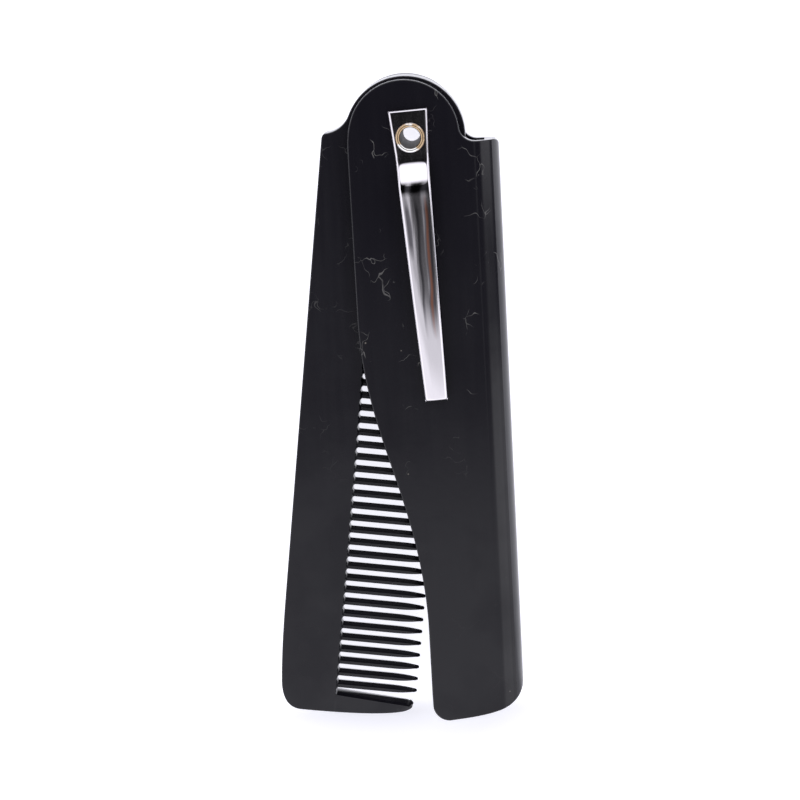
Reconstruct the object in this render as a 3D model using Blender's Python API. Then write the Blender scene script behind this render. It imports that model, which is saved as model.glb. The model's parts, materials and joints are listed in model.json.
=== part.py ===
"""Folding pocket comb: a black moulded comb that swings out of a black moulded channel handle.

The handle is one moulding: a front cheek, a back cheek and a spine along its right side, open to the left and
below. The comb turns between the cheeks on a hollow rivet, which also holds a steel pocket clip on the front.
Everything lies flat on the back cheek, with the clip up (+Z), the rounded head towards +Y and the spine
at +X.
The comb stands OPENING degrees open, as in use when it is nearly shut.

The handle grows a little from its front face to its back face, as a moulding does to leave its mould, and its
spine is a half round. The comb's teeth are six-sided, widest at mid height, so that they comb cleanly.

Outlines are drawn in millimetres round the rivet's axis, and the empty pivot_axis carries them to the world.
The world's origin is at the middle of the whole object's box, on the surface that it rests on.
"""

import math

import bmesh
import bpy
from mathutils import Matrix, Vector

MM = 0.001

# Handle, in millimetres
HANDLE_THICK = 8.25
CHEEK = 1.85
SPINE_X = 14.13
SLOT_END_X = 11.8
LEFT_X = -10.24
LEFT_TOP_Y = -3.0
HEAD_X = -1.03
HEAD_Y = 0.33
HEAD_RADIUS = 8.9
HEAD_END = 160.0
NOTCH_Y = -1.1
NOTCH_FALL = 0.33
NOTCH_RADIUS = 2.5
SPINE_TOP_RADIUS = 1.0
SWEEP_START_Y = -29.0
SWEEP_END_Y = -84.5
NARROW_X = -1.28
BOTTOM_Y = -99.0
BOTTOM_RADIUS = 2.8
SPINE_END_Y = -93.3
DRAFT = 0.45
EDGE_ROUND = 0.2
SPINE_ROUND = 4.1
SPINE_BACK_ROUND = 1.5

# Comb, in millimetres, drawn with its teeth square to the handle's spine
OPENING = 8.0
COMB_SPINE_X = -14.4
HUB_X = -0.93
HUB_Y = -0.23
HUB_RADIUS = 9.75
SHOULDER_X = -14.75
SHOULDER_Y = 3.6
SHOULDER_END_X = -13.75
COMB_BOTTOM_Y = -99.15
BODY_HALF = 1.95
TOOTH_HALF = 1.35
TIP_HALF = 0.42
GUARD_TIP_HALF = 0.9
TIP_FALL = 4.2
GUARD_FALL = 1.7
STEP_RUN = 0.3
BODY_INSET = 0.12
TOOTH_INSET = 0.36
TOOTH_PITCH = 2.11
GAPS = 39
LAST_GAP_Y = -95.5
GUARD_GAP_HALF = 0.27
GUARD_TIP_X = 8.75
ROOT_X = -4.62
TIP_X = 9.15
GAP_HALF = 0.415
TAPER_X = 4.0
NOSE_RADIUS = 0.36
HEEL_X = 8.2
HEEL_Y = -13.0
HEEL_RUN = 0.85

# Rivet, in millimetres
RIVET_HOLE_RADIUS = 1.65
SHANK_RADIUS = 1.95
FLANGE_RADIUS = 2.35
FLANGE_THICK = 0.42
CHEEK_BORE_RADIUS = 2.2
COMB_BORE_RADIUS = 2.25
CLIP_BORE_RADIUS = 2.1
RECESS_RADIUS = 2.65
RECESS_DEPTH = 0.8
FIT_GAP = 0.15

# Clip, in millimetres along its own length from the rivet's axis
CLIP_TURN = 2.7
CLIP_THICK = 0.6
TAB_END = -4.5
BEND_START = 2.9
BEND_END = 8.6
CURL_START = 22.0
CLIP_TIP = 43.2
TAB_HALF_WIDTH = 3.2
BEND_HALF_WIDTH = 2.72
TIP_HALF_WIDTH = 1.84
CLIP_RISE = 1.7
ARM_FALL = 0.3
CURL_FALL = 1.0
CLIP_CROWN = 0.14

MID_Z = HANDLE_THICK / 2
TAB_Z = HANDLE_THICK + FIT_GAP


def clear_scene():
    for old in list(bpy.data.objects):
        bpy.data.objects.remove(old, do_unlink=True)


def material(name, colour, roughness, metallic=0.0):
    made = bpy.data.materials.new(name)
    made.use_nodes = True
    shader = made.node_tree.nodes["Principled BSDF"]
    shader.inputs["Base Color"].default_value = (*colour, 1.0)
    shader.inputs["Roughness"].default_value = roughness
    shader.inputs["Metallic"].default_value = metallic
    return made


def arc(cx, cy, radius, start, end, steps):
    """Points of an arc round (cx, cy), from angle start to angle end in degrees."""
    angles = [math.radians(start + (end - start) * k / steps) for k in range(steps + 1)]
    return [(cx + radius * math.cos(a), cy + radius * math.sin(a)) for a in angles]


def bezier(p0, p1, p2, p3, steps):
    """Points of a cubic curve from p0 to p3 whose ends point at p1 and p2."""
    points = []
    for k in range(steps + 1):
        t = k / steps
        weights = ((1 - t) ** 3, 3 * t * (1 - t) ** 2, 3 * t * t * (1 - t), t**3)
        points.append(tuple(sum(w * p[i] for w, p in zip(weights, (p0, p1, p2, p3))) for i in (0, 1)))
    return points


def without_repeats(points):
    """The closed outline without points that lie on the one before."""
    return [p for k, p in enumerate(points) if math.dist(p, points[k - 1]) > 1e-4]


def inset(points, distances):
    """Each point of an anticlockwise outline moved inwards by its own distance, square to both its sides."""
    moved = []
    for k, (x, y) in enumerate(points):
        before = Vector((x, y)) - Vector(points[k - 1])
        after = Vector(points[(k + 1) % len(points)]) - Vector((x, y))
        normals = [Vector((-side.y, side.x)).normalized() for side in (before, after)]
        both = (normals[0] + normals[1]).normalized()
        reach = distances[k] / max(0.5, both.dot(normals[0]))
        moved.append((x + both.x * reach, y + both.y * reach))
    return moved


def stacked_mesh(name, loops):
    """One closed body through loops of (x, y, z) points in millimetres, each with as many points."""
    bm = bmesh.new()
    rings = [[bm.verts.new(Vector(p) * MM) for p in loop] for loop in loops]
    count = len(rings[0])
    for low, high in zip(rings, rings[1:]):
        for k in range(count):
            nxt = (k + 1) % count
            bm.faces.new((low[k], low[nxt], high[nxt], high[k]))
    bm.faces.new(list(reversed(rings[0])))
    bm.faces.new(rings[-1])
    bmesh.ops.recalc_face_normals(bm, faces=bm.faces)
    mesh = bpy.data.meshes.new(name)
    bm.to_mesh(mesh)
    bm.free()
    return mesh


def place(name, mesh, parent=None, surface=None, turn=0.0):
    """An object for the mesh, turned about the rivet's axis and carried by the parent."""
    made = bpy.data.objects.new(name, mesh)
    bpy.context.collection.objects.link(made)
    made.parent = parent
    made.rotation_euler.z = math.radians(turn)
    if surface:
        mesh.materials.append(surface)
    return made


def turned_mesh(name, profile, steps=40):
    """A closed ring body: the (radius, z) profile in millimetres spun round the rivet's axis."""
    bm = bmesh.new()
    section = [bm.verts.new(Vector((r, 0.0, z)) * MM) for r, z in profile]
    edges = [bm.edges.new((a, section[(k + 1) % len(section)])) for k, a in enumerate(section)]
    bmesh.ops.spin(bm, geom=section + edges, axis=(0, 0, 1), cent=(0, 0, 0), angle=2 * math.pi, steps=steps)
    bmesh.ops.remove_doubles(bm, verts=bm.verts, dist=1e-7)
    bmesh.ops.recalc_face_normals(bm, faces=bm.faces)
    mesh = bpy.data.meshes.new(name)
    bm.to_mesh(mesh)
    bm.free()
    return mesh


def cylinder_loops(radius, low, high, steps=40):
    ring = arc(0.0, 0.0, radius, 0.0, 360.0 - 360.0 / steps, steps - 1)
    return [[(x, y, z) for x, y in ring] for z in (low, high)]


def cut(target, name, loops, parent):
    """Subtracts the closed body through the loops from the target."""
    cutter = place(name, stacked_mesh(name, loops), parent)
    cutter.hide_render = True
    cutter.display_type = "WIRE"
    boolean = target.modifiers.new(name, "BOOLEAN")
    boolean.operation = "DIFFERENCE"
    boolean.solver = "EXACT"
    boolean.object = cutter


def handle_outline(spread):
    """Anticlockwise from the spine's lower end; spread is 0 at the front face, 1 at the wider back face."""
    grow = DRAFT * spread
    head_radius = HEAD_RADIUS + grow
    left_x = LEFT_X - grow
    narrow_x = NARROW_X - grow
    bottom_y = BOTTOM_Y - grow
    notch_y = NOTCH_Y - NOTCH_FALL * spread
    notch_centre_y = notch_y + NOTCH_RADIUS
    notch_centre_x = HEAD_X + math.sqrt((head_radius + NOTCH_RADIUS) ** 2 - (notch_centre_y - HEAD_Y) ** 2)
    meet = math.degrees(math.atan2(notch_centre_y - HEAD_Y, notch_centre_x - HEAD_X))
    spine_steps = 24
    spine_high = notch_y - SPINE_TOP_RADIUS
    spine_run = spine_high - SPINE_END_Y
    end = math.radians(HEAD_END)
    head_end = (HEAD_X + head_radius * math.cos(end), HEAD_Y + head_radius * math.sin(end))
    head_on = (head_end[0] - 2.2 * math.sin(end), head_end[1] + 2.2 * math.cos(end))
    bottom_start = (narrow_x + BOTTOM_RADIUS, bottom_y)
    points = [(SPINE_X, SPINE_END_Y + spine_run * k / spine_steps) for k in range(spine_steps)]
    points += arc(SPINE_X - SPINE_TOP_RADIUS, spine_high, SPINE_TOP_RADIUS, 0, 90, 5)
    points += arc(notch_centre_x, notch_centre_y, NOTCH_RADIUS, 270, 180 + meet, 8)
    points += arc(HEAD_X, HEAD_Y, head_radius, meet, HEAD_END, 32)[1:]
    points += bezier(head_end, head_on, (left_x, LEFT_TOP_Y + 2.6), (left_x, LEFT_TOP_Y), 6)[1:]
    points += bezier((left_x, SWEEP_START_Y), (left_x, -50.0), (narrow_x, -60.0), (narrow_x, SWEEP_END_Y), 22)
    points += arc(narrow_x + BOTTOM_RADIUS, bottom_y + BOTTOM_RADIUS, BOTTOM_RADIUS, 180, 270, 8)
    points += bezier(bottom_start, (5.5, bottom_y + 0.45), (14.0, -98.0), (SPINE_X, SPINE_END_Y), 14)[1:-1]
    return points


def round_drop(x, radius):
    """How far a half round of that radius at the spine has fallen from the flat face at x."""
    share = min(1.0, max(0.0, (x - SPINE_X + radius) / radius))
    return radius * (1 - math.sqrt(1 - share * share))


def make_handle(parent, surface):
    steps = 4
    levels = []
    for k in range(steps + 1):
        angle = math.pi / 2 * k / steps
        levels.append((EDGE_ROUND * (1 - math.cos(angle)), EDGE_ROUND * (1 - math.sin(angle))))
    levels += [(HANDLE_THICK - drop, distance) for drop, distance in reversed(levels)]
    loops = []
    for z, distance in levels:
        outline = handle_outline(1 - z / HANDLE_THICK)
        loops.append([(x, y, z) for x, y in inset(outline, [distance] * len(outline))])
    mesh = stacked_mesh("handle", loops)
    bm = bmesh.new()
    bm.from_mesh(mesh)
    for degrees in (0, 12, 24, 36, 48, 60):
        x = SPINE_X - SPINE_ROUND * (1 - math.sin(math.radians(degrees)))
        everything = list(bm.verts) + list(bm.edges) + list(bm.faces)
        bmesh.ops.bisect_plane(bm, geom=everything, plane_co=(x * MM, 0, 0), plane_no=(1, 0, 0), dist=1e-8)
    for vert in bm.verts:
        x = vert.co.x / MM
        share = vert.co.z / MM / HANDLE_THICK
        front = HANDLE_THICK - round_drop(x, SPINE_ROUND)
        back = round_drop(x, SPINE_BACK_ROUND)
        vert.co.z = (back + share * (front - back)) * MM
    bm.to_mesh(mesh)
    bm.free()
    handle = place("handle", mesh, parent, surface)
    slot = [(-60.0, -120.0), (SLOT_END_X, -120.0), (SLOT_END_X, 30.0), (-60.0, 30.0)]
    slot_loops = [[(x, y, z) for x, y in slot] for z in (CHEEK, HANDLE_THICK - CHEEK)]
    cut(handle, "slot_cutter", slot_loops, parent)
    cut(handle, "bore_cutter", cylinder_loops(CHEEK_BORE_RADIUS, -5.0, HANDLE_THICK + 5.0), parent)
    cut(handle, "recess_cutter", cylinder_loops(RECESS_RADIUS, -5.0, RECESS_DEPTH), parent)
    return handle


def tooth_row():
    """The toothed side from the guard tooth up to the heel: round gap ends, teeth that taper to a nose."""
    points = []
    side = TOOTH_PITCH / 2 - GAP_HALF
    nose_x = TIP_X - NOSE_RADIUS
    taper = bezier((TAPER_X, -side), (6.5, -side), (7.8, -0.52), (nose_x, -NOSE_RADIUS), 4)
    nose = arc(nose_x, 0.0, NOSE_RADIUS, -90, 90, 6)[1:-1]
    tooth = taper + nose + [(x, -y) for x, y in reversed(taper)]
    for n in range(GAPS):
        gap_y = LAST_GAP_Y + n * TOOTH_PITCH
        half = GAP_HALF if n else GUARD_GAP_HALF
        points += arc(ROOT_X + half, gap_y + GAP_HALF - half, half, 270, 90, 4)
        if n < GAPS - 1:
            points += [(x, gap_y + TOOTH_PITCH / 2 + y) for x, y in tooth]
    return points


def comb_outline():
    """Anticlockwise from the hub's right: hub, shoulder, spine edge, bottom, guard tooth, teeth, heel."""
    shoulder_radius = math.dist((HUB_X, HUB_Y), (SHOULDER_X, SHOULDER_Y)) - HUB_RADIUS
    meet = math.degrees(math.atan2(SHOULDER_Y - HUB_Y, SHOULDER_X - HUB_X))
    shoulder_end = 360 - math.degrees(math.acos((SHOULDER_END_X - SHOULDER_X) / shoulder_radius))
    points = arc(HUB_X, HUB_Y, HUB_RADIUS, -35, meet, 36)
    points += arc(SHOULDER_X, SHOULDER_Y, shoulder_radius, meet + 180, shoulder_end, 9)[1:]
    points += bezier(points[-1], (-14.25, -1.0), (COMB_SPINE_X, -1.35), (COMB_SPINE_X, -2.0), 4)[1:]
    points += bezier((COMB_SPINE_X, -80.0), (COMB_SPINE_X, -88.0), (-14.1, -92.5), (-13.92, -94.6), 6)
    points += bezier((-13.92, -94.6), (-13.65, -97.2), (-12.6, COMB_BOTTOM_Y), (-10.2, COMB_BOTTOM_Y), 8)[1:]
    points += bezier((-10.2, COMB_BOTTOM_Y), (-3.0, COMB_BOTTOM_Y), (4.0, -98.85), (7.3, -97.8), 8)[1:]
    points += bezier((7.3, -97.8), (8.2, -97.5), (GUARD_TIP_X, -97.15), (GUARD_TIP_X, -96.8), 4)[1:]
    points += bezier((GUARD_TIP_X, -96.8), (GUARD_TIP_X, -96.45), (8.3, -96.25), (7.6, -96.15), 4)[1:]
    points += tooth_row()
    first_gap_y = LAST_GAP_Y + (GAPS - 1) * TOOTH_PITCH
    points += arc(HEEL_X - 0.4, first_gap_y + GAP_HALF + 0.6, 0.6, -90, 0, 4)
    points += [(HEEL_X + 0.2, HEEL_Y)]
    return without_repeats(points)


def half_thickness(x, y):
    """The comb's half thickness: a flat body, a short step down to the teeth, and rounded tooth tips."""
    fall_start = TIP_X - TIP_FALL
    if y < LAST_GAP_Y:
        share = min(0.98, max(0.0, (x - GUARD_TIP_X + GUARD_FALL) / GUARD_FALL))
        return BODY_HALF - (BODY_HALF - GUARD_TIP_HALF) * (1 - math.sqrt(1 - share * share))
    drop = (BODY_HALF - TOOTH_HALF) * min(1.0, max(0.0, (x - ROOT_X) / STEP_RUN))
    share = min(0.98, max(0.0, (x - fall_start) / TIP_FALL))
    drop += (TOOTH_HALF - TIP_HALF) * (1 - math.sqrt(1 - share * share))
    below_heel = min(1.0, max(0.0, (HEEL_Y - y) / HEEL_RUN))
    return BODY_HALF - drop * below_heel


def tooth_share(x, y):
    """1 on the flanks of the teeth, 0 round the body and under the guard tooth."""
    inside = min(1.0, max(0.0, (x - ROOT_X) / STEP_RUN))
    past_guard = min(1.0, max(0.0, (y - LAST_GAP_Y + 1.6) / 0.4))
    return inside * past_guard if y < HEEL_Y - HEEL_RUN else 0.0


def make_comb(parent, surface):
    outline = comb_outline()
    depth = [BODY_INSET + (TOOTH_INSET - BODY_INSET) * tooth_share(x, y) for x, y in outline]
    inner = inset(outline, depth)
    loops = [[(x, y, side) for x, y in ring] for ring, side in ((inner, -1), (outline, 0), (inner, 1))]
    mesh = stacked_mesh("comb", loops)
    bm = bmesh.new()
    bm.from_mesh(mesh)
    stations = [ROOT_X, ROOT_X + STEP_RUN]
    stations += [TIP_X - TIP_FALL * (1 - share) for share in (0.0, 0.5, 0.8)]
    creases = [(x, 0, (1, 0, 0)) for x in stations]
    creases += [(0, HEEL_Y, (0, 1, 0)), (0, HEEL_Y - HEEL_RUN, (0, 1, 0))]
    for x, y, normal in creases:
        everything = list(bm.verts) + list(bm.edges) + list(bm.faces)
        bmesh.ops.bisect_plane(bm, geom=everything, plane_co=(x * MM, y * MM, 0), plane_no=normal, dist=1e-8)
    for vert in bm.verts:
        side = vert.co.z / MM
        vert.co.z = (MID_Z + side * half_thickness(vert.co.x / MM, vert.co.y / MM)) * MM
    bm.to_mesh(mesh)
    bm.free()
    comb = place("comb", mesh, parent, surface, turn=-OPENING)
    cut(comb, "comb_bore_cutter", cylinder_loops(COMB_BORE_RADIUS, -5.0, HANDLE_THICK + 5.0), parent)
    return comb


def clip_height(along):
    """Height of the clip's under side above the tab: flat, an S bend up, a slow fall, a curl to the tip."""
    if along <= BEND_START:
        return 0.0
    if along < BEND_END:
        t = (along - BEND_START) / (BEND_END - BEND_START)
        return CLIP_RISE * t * t * (3 - 2 * t)
    arm = (along - BEND_END) / (CLIP_TIP - BEND_END)
    curl = max(0.0, (along - CURL_START) / (CLIP_TIP - CURL_START))
    return CLIP_RISE - ARM_FALL * arm - CURL_FALL * curl * curl


def clip_crown(along):
    """How far the middle of the clip's section stands above its edges."""
    if along <= BEND_START:
        return 0.0
    if along < BEND_END:
        return CLIP_CROWN * (along - BEND_START) / (BEND_END - BEND_START)
    return CLIP_CROWN


def clip_section(along):
    """One closed section across the clip: bottom from left to right, then top from right to left."""
    if along < BEND_START:
        share = (along - TAB_END) / (BEND_START - TAB_END)
        half = TAB_HALF_WIDTH + (BEND_HALF_WIDTH - TAB_HALF_WIDTH) * share
    else:
        share = (along - BEND_START) / (CLIP_TIP - BEND_START)
        half = BEND_HALF_WIDTH + (TIP_HALF_WIDTH - BEND_HALF_WIDTH) * share
    base = TAB_Z + clip_height(along)
    across = [k / 3 - 1 for k in range(7)]
    lift = [clip_crown(along) * (1 - s * s) for s in across]
    bottom = [(s * half, -along, base + up) for s, up in zip(across, lift)]
    top = [(s * half, -along, base + up + CLIP_THICK) for s, up in zip(across, lift)]
    return bottom + list(reversed(top))


def make_clip(parent, surface):
    bend_steps = 10
    arm_steps = 14
    stations = [TAB_END, -2.6, 0.0, 2.6]
    stations += [BEND_START + (BEND_END - BEND_START) * k / bend_steps for k in range(bend_steps + 1)]
    stations += [BEND_END + (CLIP_TIP - BEND_END) * (k + 1) / arm_steps for k in range(arm_steps)]
    mesh = stacked_mesh("clip", [clip_section(along) for along in stations])
    clip = place("clip", mesh, parent, surface, turn=CLIP_TURN)
    cut(clip, "clip_bore_cutter", cylinder_loops(CLIP_BORE_RADIUS, -5.0, HANDLE_THICK + 5.0), parent)
    return clip


def make_rivet(parent, surface):
    """A tube with a rolled rim at each end: the front rim over the clip, the back rim in a shallow recess."""
    front = TAB_Z + CLIP_THICK + FIT_GAP
    back = 0.06
    rim = FLANGE_RADIUS - 0.15
    profile = [
        (RIVET_HOLE_RADIUS, back + FLANGE_THICK),
        (RIVET_HOLE_RADIUS + 0.12, back),
        (rim, back),
        (FLANGE_RADIUS, back + 0.12),
        (FLANGE_RADIUS, back + FLANGE_THICK),
        (SHANK_RADIUS, back + FLANGE_THICK),
        (SHANK_RADIUS, front),
        (FLANGE_RADIUS, front),
        (FLANGE_RADIUS, front + FLANGE_THICK - 0.15),
        (rim, front + FLANGE_THICK),
        (RIVET_HOLE_RADIUS + 0.2, front + FLANGE_THICK),
        (RIVET_HOLE_RADIUS, front + 0.1),
    ]
    return place("rivet", turned_mesh("rivet", profile), parent, surface)


def rest_centre():
    """The middle of the object's box in plan, round the rivet's axis, with the comb at its opening."""
    turn = Matrix.Rotation(math.radians(-OPENING), 2)
    comb = [turn @ Vector(p) for p in comb_outline()]
    both = comb + [Vector(p) for p in handle_outline(1)]
    xs = [p.x for p in both]
    ys = [p.y for p in both]
    return (min(xs) + max(xs)) / 2, (min(ys) + max(ys)) / 2


def main():
    clear_scene()
    black = material("black_moulded_plastic", (0.012, 0.012, 0.014), 0.25)
    steel = material("polished_steel", (0.78, 0.78, 0.80), 0.12, 1.0)
    nickel = material("nickel_plated_brass", (0.74, 0.72, 0.68), 0.18, 1.0)
    centre_x, centre_y = rest_centre()
    pivot = bpy.data.objects.new("pivot_axis", None)
    bpy.context.collection.objects.link(pivot)
    pivot.location = (-centre_x * MM, -centre_y * MM, 0.0)
    make_handle(pivot, black)
    make_comb(pivot, black)
    make_clip(pivot, steel)
    make_rivet(pivot, nickel)
    print("rivet axis at", round(-centre_x, 3), round(-centre_y, 3), "mm")


main()
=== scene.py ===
"""Looks of the folding pocket comb: the moulded channel handle and comb, the steel clip and the hollow rivet.

Lengths are in millimetres round the rivet's axis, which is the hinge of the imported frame. Each piece is
worked out there with numpy, then carried to its place in metres.
"""

import json
import math

import bmesh
import bpy
import numpy as np
from mathutils import Matrix


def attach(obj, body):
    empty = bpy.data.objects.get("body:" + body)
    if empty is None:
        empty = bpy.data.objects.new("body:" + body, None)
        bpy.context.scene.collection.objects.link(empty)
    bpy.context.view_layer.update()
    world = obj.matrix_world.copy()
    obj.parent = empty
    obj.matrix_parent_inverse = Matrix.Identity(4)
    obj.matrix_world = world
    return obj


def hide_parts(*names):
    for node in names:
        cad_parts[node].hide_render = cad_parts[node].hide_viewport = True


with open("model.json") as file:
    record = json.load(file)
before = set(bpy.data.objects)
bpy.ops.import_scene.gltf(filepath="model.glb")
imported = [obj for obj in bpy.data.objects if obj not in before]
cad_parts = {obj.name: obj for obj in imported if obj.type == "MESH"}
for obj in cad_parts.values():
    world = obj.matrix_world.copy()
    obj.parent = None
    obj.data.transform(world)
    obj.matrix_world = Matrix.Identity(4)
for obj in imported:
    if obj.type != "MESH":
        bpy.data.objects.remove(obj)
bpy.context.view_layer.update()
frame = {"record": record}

MM = 0.001
HINGE = frame["record"]["behaviour"]["joints"][0]["pos_m"]
PIVOT_X = HINGE[0] / MM
PIVOT_Y = HINGE[1] / MM

# Handle
HANDLE_THICK = 8.25
CHEEK = 1.85
SPINE_X = 14.13
SLOT_END_X = 11.8
LEFT_X = -10.24
LEFT_TOP_Y = -3.0
HEAD_X = -1.03
HEAD_Y = 0.33
HEAD_RADIUS = 8.9
HEAD_END = 160.0
NOTCH_Y = -1.1
NOTCH_FALL = 0.33
NOTCH_RADIUS = 2.5
SPINE_TOP_RADIUS = 1.0
SWEEP_START_Y = -29.0
SWEEP_END_Y = -84.5
NARROW_X = -1.28
BOTTOM_Y = -99.0
BOTTOM_RADIUS = 2.8
SPINE_END_Y = -93.3
DRAFT = 0.45
EDGE_ROUND = 0.2
SPINE_ROUND = 4.1
SPINE_BACK_ROUND = 1.5
CUT_EDGE_ROUND = 0.12

# Comb
OPENING = 8.0
COMB_SPINE_X = -14.4
HUB_X = -0.93
HUB_Y = -0.23
HUB_RADIUS = 9.75
SHOULDER_X = -14.75
SHOULDER_Y = 3.6
SHOULDER_END_X = -13.75
COMB_BOTTOM_Y = -99.15
BODY_HALF = 1.95
TOOTH_HALF = 1.35
TIP_HALF = 0.42
GUARD_TIP_HALF = 0.9
TIP_FALL = 4.2
GUARD_FALL = 1.7
STEP_RUN = 0.3
BODY_ROUND = 0.2
TOOTH_INSET = 0.36
GUARD_INSET = 0.6
BEVEL_DROP = 1.6
BEVEL_RUN = 0.4
TOOTH_PITCH = 2.11
GAPS = 39
LAST_GAP_Y = -95.5
GUARD_GAP_HALF = 0.27
GUARD_TIP_X = 8.75
GUARD_TIP_Y = -96.8
GUARD_UNDER = (7.3, -97.8)
GUARD_TOP = (7.6, -96.15)
COMB_FOOT = (-13.92, -94.6)
COMB_BOTTOM_X = -10.2
ROOT_X = -4.62
TIP_X = 9.15
GAP_HALF = 0.415
TAPER_X = 4.0
NOSE_RADIUS = 0.36
HEEL_X = 8.2
HEEL_Y = -13.0
HEEL_RUN = 0.85

# Rivet
RIVET_HOLE_RADIUS = 1.65
RIVET_NECK = 0.25
SHANK_RADIUS = 1.95
FLANGE_RADIUS = 2.35
FLANGE_THICK = 0.42
RIM_FOOT = 0.1
RIM_LIP = 0.05
RIVET_BACK = 0.06
NECK_TOP = 0.2
NECK_FOOT = 0.8
CHEEK_BORE_RADIUS = 2.2
COMB_BORE_RADIUS = 2.25
CLIP_BORE_RADIUS = 2.1
RECESS_RADIUS = 2.65
RECESS_DEPTH = 0.8
FIT_GAP = 0.15

# Clip
CLIP_TURN = 2.7
CLIP_THICK = 0.6
CLIP_EDGE = 0.4
CLIP_LIP = 0.05
TAB_END = -4.5
BEND_START = 2.9
BEND_END = 8.6
CURL_START = 22.0
CLIP_TIP = 43.2
TAB_HALF_WIDTH = 3.2
BEND_HALF_WIDTH = 2.72
TIP_HALF_WIDTH = 1.84
CLIP_RISE = 1.7
ARM_FALL = 0.3
CURL_FALL = 1.0
CLIP_CROWN = 0.14

# The visual outlines stand this far inside the part's, whose flats would cut across their curves
HOLD_BACK = 0.015

MID_Z = HANDLE_THICK / 2
TAB_Z = HANDLE_THICK + FIT_GAP

# Camera and light
CAMERA_TARGET = (PIVOT_X - 4.4474, PIVOT_Y - 44.8631, 0.0)
CAMERA_DISTANCE = 400.0
CAMERA_LEAN = (0.0542, 0.222)
CAMERA_ROLL = 0.0547
CAMERA_LENS = 107.25
LENS_ASIDE = 0.043
FLOOR_REACH = 3000.0
GLOW_EDGE = (-0.0555, -0.0495)

# Kinds of node
MATH = "ShaderNodeMath"
VECTOR = "ShaderNodeVectorMath"
RAMP = "ShaderNodeMapRange"
MIX = "ShaderNodeMix"
NOISE = "ShaderNodeTexNoise"
CELLS = "ShaderNodeTexVoronoi"

# Patterns of the plastic, in waves or cells per metre. The black drifts over 17 mm, a fingertip's smudge is
# 12 mm, lint curls over 4 mm in patches of 7 mm, and there is room for a grain of dust every 3 mm.
TONE_WAVES = 60.0
SMUDGE_WAVES = 85.0
LINT_CELLS = 250.0
LINT_PATCH_WAVES = 150.0
LINT_BEND_WAVES = 380.0
DUST_CELLS = 330.0
DUST_SHARE = 0.14
# Hairline wear and the mould's grain are drawn coarser than the real 0.1 mm, which would not show
WEAR_WAVES = (900.0, 60.0, 900.0)
MOULD_GRAIN_WAVES = 420.0
# Metres: how far the lint's cells are bent, and where along the handle it begins and is at its full
LINT_BEND = (0.005, 0.005, 0.0)
LINT_FROM_Y = -0.012
LINT_FULL_Y = 0.002

# Patterns of the metals, in waves per metre. The painted reflection streaks waver over 11 mm, brass clouds
# over
# 2 mm, and worn plating, whose near-white is partly painted highlight, comes in patches over 1.4 mm.
# Polishing lines are drawn 0.7 mm apart, coarser than the real 0.05 mm.
STREAK_WAVES = 90.0
BRASS_CLOUD_WAVES = 500.0
PLATING_AND_HIGHLIGHT_WAVES = 700.0
POLISH_WAVES = (1500.0, 50.0, 1500.0)

# Highlight patch on the clip's bend, left bright inside painted shade: middle and half length along it, and
# its share of the half width
PATCH_MIDDLE = 5.72
PATCH_HALF_LENGTH = 1.77
PATCH_HALF_SHARE = 0.84


def linear(hex_colour):
    """A hex sRGB colour as linear red, green, blue and alpha."""
    parts = [int(hex_colour[k : k + 2], 16) / 255 for k in (1, 3, 5)]
    return (*[c / 12.92 if c <= 0.04045 else ((c + 0.055) / 1.055) ** 2.4 for c in parts], 1.0)


def fill(tree, socket, value):
    """Sets the input socket to a number or a hex colour, or links a socket or a node's live output to it."""
    if isinstance(value, bpy.types.Node):
        value = next(output for output in value.outputs if output.enabled)
    if isinstance(value, bpy.types.NodeSocket):
        tree.links.new(value, socket)
    elif isinstance(value, str):
        socket.default_value = linear(value)
    else:
        socket.default_value = value


def add(tree, kind, *inputs, **settings):
    """A node of that kind, its inputs filled in order; a setting named in_X fills input X."""
    node = tree.nodes.new(kind)
    filled = dict(enumerate(inputs))
    for name, value in settings.items():
        if name.startswith("in_"):
            key = name[3:]
            filled[int(key) if key.isdigit() else key.replace("_", " ")] = value
        else:
            setattr(node, name, value)
    for key, value in filled.items():
        fill(tree, node.inputs[key], value)
    return node


def band(tree, value, rise, fall, top=1.0):
    """0 outside and top inside a band of the value, with a ramp up over rise and a ramp down over fall."""
    up = add(tree, RAMP, value, *rise)
    down = add(tree, RAMP, value, *fall, top, 0.0)
    return add(tree, MATH, up, down, operation="MULTIPLY")


def arc(cx, cy, radius, start, end, steps):
    """Points of an arc: centre plus radius times (cos a, sin a), a from start to end in degrees."""
    a = np.radians(np.linspace(start, end, steps + 1))
    return np.stack([cx + radius * np.cos(a), cy + radius * np.sin(a)], axis=1)


def bezier(p0, p1, p2, p3, steps):
    """Cubic curve: the four points weighted by the Bernstein polynomials of t."""
    t = np.linspace(0, 1, steps + 1)[:, None]
    p0, p1, p2, p3 = (np.array(p) for p in (p0, p1, p2, p3))
    return (1 - t) ** 3 * p0 + 3 * t * (1 - t) ** 2 * p1 + 3 * t * t * (1 - t) * p2 + t**3 * p3


def smooth(t):
    """Smoothstep: 3 t squared minus 2 t cubed, with t held between 0 and 1."""
    t = np.clip(t, 0, 1)
    return t * t * (3 - 2 * t)


def closed_outline(runs):
    """The runs of points joined into one closed outline, without points that lie on the one before."""
    points = np.concatenate([np.atleast_2d(run) for run in runs])
    step = np.linalg.norm(points - np.roll(points, 1, axis=0), axis=1)
    return points[step > 1e-4]


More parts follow.
